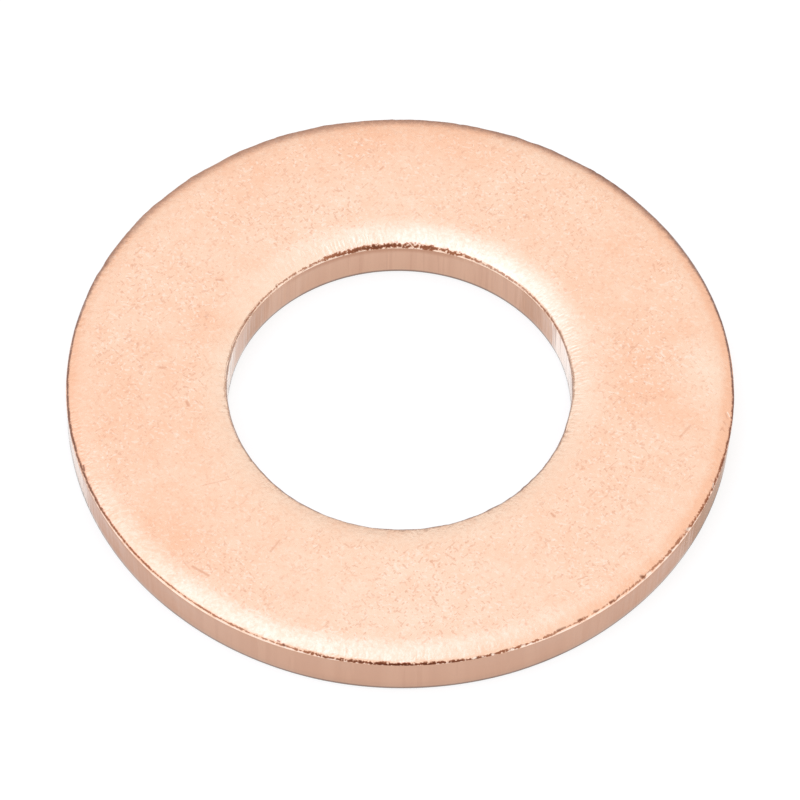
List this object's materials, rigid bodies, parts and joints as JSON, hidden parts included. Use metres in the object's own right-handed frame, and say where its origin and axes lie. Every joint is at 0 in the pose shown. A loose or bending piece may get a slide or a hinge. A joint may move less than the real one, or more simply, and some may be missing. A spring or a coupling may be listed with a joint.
{
  "type": "copper crush washer",
  "caption": "Flat copper crush washer with a round hole; the struck face rolls down into both rims, and the ring seals a bolt or drain plug when tightened.",
  "frame": {"origin": "centre of the ring on its lower face, the face it lies on", "axes": "+Z along the hole's axis, out of the struck face with the rolled rims; X and Y are free"},
  "size_m": [0.02, 0.02, 0.0015],
  "materials": {
    "copper": "annealed copper, tumbled to a satin"
  },
  "bodies": {
    "root": {"washer": "copper"}
  },
  "joints": []
}
